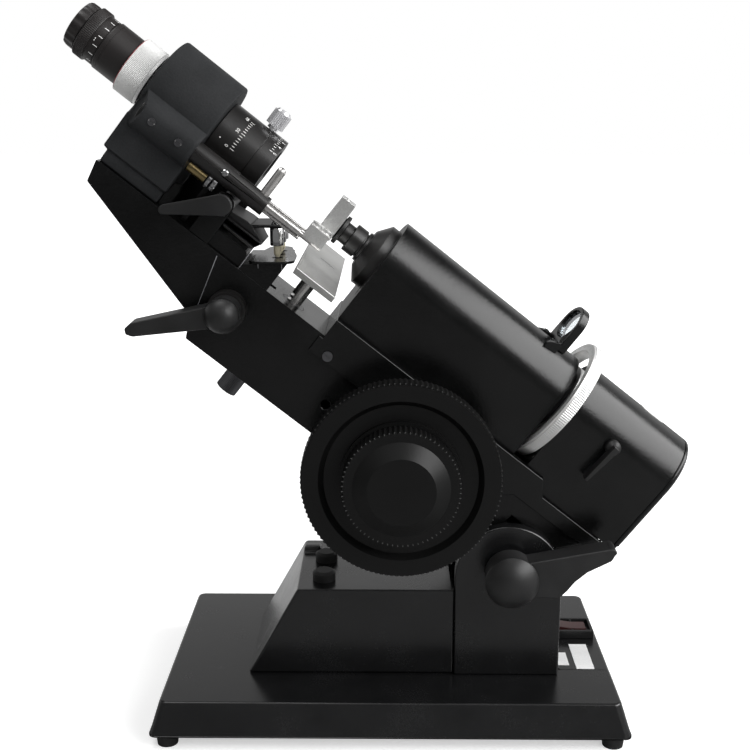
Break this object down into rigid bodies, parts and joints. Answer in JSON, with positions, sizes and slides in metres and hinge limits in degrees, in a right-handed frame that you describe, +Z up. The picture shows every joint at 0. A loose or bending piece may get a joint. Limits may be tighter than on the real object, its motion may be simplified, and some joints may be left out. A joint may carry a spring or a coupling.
{
  "type": "lensometer",
  "caption": "Bench lensometer: optical frame on a tilting yoke, lens table and holder, power wheel, axis ring, marking device, prism compensator and a heavy flat base.",
  "frame": {"origin": "centre of the base on the plane that the rubber feet rest on", "axes": "+X to the right as seen from the power wheel's side, eyepiece end at -X; +Y away from the power wheel; +Z up"},
  "size_m": [0.3988, 0.1864, 0.4557],
  "materials": {
    "black_enamel": "semi-gloss black enamel on cast iron",
    "frame_enamel": "satin black enamel on cast metal",
    "grey_sheet": "grey painted sheet steel",
    "black_rubber": "matt black rubber",
    "white_plate": "white lacquered aluminium plate, blank",
    "black_plastic": "matt black plastic",
    "red_plastic": "gloss red plastic",
    "bright_steel": "ground steel",
    "dark_plastic": "matt black moulded plastic",
    "optical_glass": "polished optical glass",
    "green_glass": "green filter glass",
    "black_anodised": "satin black anodised aluminium",
    "bright_aluminium": "bright turned and knurled aluminium",
    "satin_aluminium": "satin anodised aluminium",
    "brass": "machined brass",
    "dark_steel": "blackened steel",
    "chrome": "polished chrome plate",
    "cream_plastic": "cream nylon nibs",
    "lamp_parts": "clear lamp in a ceramic socket",
    "wheel_plastic": "semi-gloss black moulded plastic"
  },
  "bodies": {
    "base": {"base_casting": "black_enamel", "bottom_plate": "grey_sheet", "rubber_feet": "black_rubber", "pedestal": "black_enamel", "yoke_ears": "black_enamel", "tilt_stops": "black_rubber", "blank_plates": "white_plate", "power_supply": "grey_sheet", "switch_box": "black_plastic", "power_inlet": "black_plastic", "base_screws": "bright_steel", "pivot_shaft": "bright_steel"},
    "clamp": {"clamp_lever": "dark_plastic", "clamp_cap": "dark_plastic"},
    "rocker": {"power_rocker": "red_plastic"},
    "frame": {"arm_casting": "frame_enamel", "arm_rear_cover": "frame_enamel", "head_housing": "frame_enamel", "sleeve_fairing": "frame_enamel", "telescope_tube": "black_anodised", "objective_lens": "optical_glass", "holder_sleeve": "black_anodised", "chassis": "frame_enamel", "collimator_cover": "frame_enamel", "lamp_house": "frame_enamel", "end_cap": "frame_enamel", "nosepiece": "black_anodised", "collimator_lens": "optical_glass", "rear_bulkhead": "black_anodised", "lamp": "lamp_parts", "frame_screws": "dark_steel", "ink_pad": "frame_enamel", "marker_bracket": "frame_enamel", "shaft_guide": "dark_steel", "arm_bushes": "black_anodised", "top_plate": "white_plate", "magnifier_bracket": "frame_enamel"},
    "eyepiece": {"eyepiece": "black_anodised", "eye_lens": "optical_glass"},
    "protractor": {"protractor_ring": "bright_aluminium"},
    "prism": {"prism_barrel": "black_anodised", "prism_glass": "optical_glass"},
    "prism_lock": {"prism_screw": "chrome"},
    "holder": {"lens_holder": "satin_aluminium", "holder_rod": "bright_steel"},
    "table": {"lens_table": "satin_aluminium", "table_shaft": "bright_steel"},
    "table_lever": {"table_lever": "dark_plastic", "sector_gear": "brass"},
    "marker": {"marker_arm": "dark_plastic"},
    "marker_pins": {"marker_pins": "cream_plastic"},
    "power_drive": {"power_wheel": "wheel_plastic", "power_knob": "wheel_plastic", "wheel_shaft": "bright_steel"},
    "carriage": {"target_carriage": "brass"},
    "axis_ring": {"axis_ring": "bright_aluminium"},
    "magnifier": {"magnifier_ring": "frame_enamel", "magnifier_lens": "optical_glass"},
    "filter": {"filter_lever": "dark_plastic", "filter_glass": "green_glass"}
  },
  "joints": [
    {"name": "frame_tilt", "type": "hinge", "parent": "base", "child": "frame", "pos_m": [0.076, 0, 0.104], "axis": [0, 1, 0], "range_deg": [-37.5, 50]},
    {"name": "clamp_turn", "type": "hinge", "parent": "base", "child": "clamp", "pos_m": [0.076, 0, 0.104], "axis": [0, 1, 0], "range_deg": [-5, 50]},
    {"name": "rocker_tip", "type": "hinge", "parent": "base", "child": "rocker", "pos_m": [0.129, 0.0205, 0.0332], "axis": [0, -1, 0], "range_deg": [0, 8]},
    {"name": "eyepiece_turn", "type": "hinge", "parent": "frame", "child": "eyepiece", "pos_m": [-0.1775, 0, 0.43163], "axis": [0.7848, 0, -0.6198], "range_deg": [-150, 150]},
    {"name": "protractor_turn", "type": "hinge", "parent": "frame", "child": "protractor", "pos_m": [-0.15396, 0, 0.41303], "axis": [0.7848, 0, -0.6198], "continuous": true},
    {"name": "prism_turn", "type": "hinge", "parent": "frame", "child": "prism", "pos_m": [-0.09118, 0, 0.36345], "axis": [0.7848, 0, -0.6198], "range_deg": [-100, 45]},
    {"name": "prism_lock_turn", "type": "hinge", "parent": "prism", "child": "prism_lock", "pos_m": [-0.07317, 0, 0.38109], "axis": [0.6198, 0, 0.7848], "range_deg": [-90, 90]},
    {"name": "holder_slide", "type": "slide", "parent": "frame", "child": "holder", "axis": [-0.7848, 0, 0.6198], "range_m": [0, 0.015], "stiffness_N_per_m": 60, "springref_m": -0.03},
    {"name": "table_slide", "type": "slide", "parent": "frame", "child": "table", "axis": [-0.6198, 0, -0.7848], "range_m": [0, 0.0222]},
    {"name": "table_lever_turn", "type": "hinge", "parent": "frame", "child": "table_lever", "pos_m": [-0.10097, 0, 0.27167], "axis": [0, 1, 0], "range_deg": [0, 46.6]},
    {"name": "marker_swing", "type": "hinge", "parent": "frame", "child": "marker", "pos_m": [-0.10222, 0, 0.3356], "axis": [0, -1, 0], "range_deg": [0, 48]},
    {"name": "marker_press", "type": "slide", "parent": "marker", "child": "marker_pins", "axis": [0, 0, 1], "range_m": [0, 0.003], "stiffness_N_per_m": 200, "springref_m": -0.002},
    {"name": "power_turn", "type": "hinge", "parent": "frame", "child": "power_drive", "pos_m": [0.0063, 0, 0.17306], "axis": [0, 1, 0], "range_deg": [-150, 150]},
    {"name": "carriage_slide", "type": "slide", "parent": "frame", "child": "carriage", "axis": [0.7848, 0, -0.6198], "range_m": [-0.019, 0.019]},
    {"name": "axis_ring_turn", "type": "hinge", "parent": "frame", "child": "axis_ring", "pos_m": [0.10894, 0, 0.20541], "axis": [0.7848, 0, -0.6198], "continuous": true},
    {"name": "magnifier_fold", "type": "hinge", "parent": "frame", "child": "magnifier", "pos_m": [0.10483, -0.00081, 0.24625], "axis": [0.1228, -0.9877, -0.097], "range_deg": [0, 85]},
    {"name": "filter_turn", "type": "hinge", "parent": "frame", "child": "filter", "pos_m": [0.14115, 0, 0.18214], "axis": [0, -1, 0], "range_deg": [0, 90]}
  ],
  "couplings": [
    {"joint": "carriage_slide", "follows": "power_turn", "m_per_rad": 0.0072},
    {"joint": "table_slide", "follows": "table_lever_turn", "m_per_rad": 0.027}
  ]
}
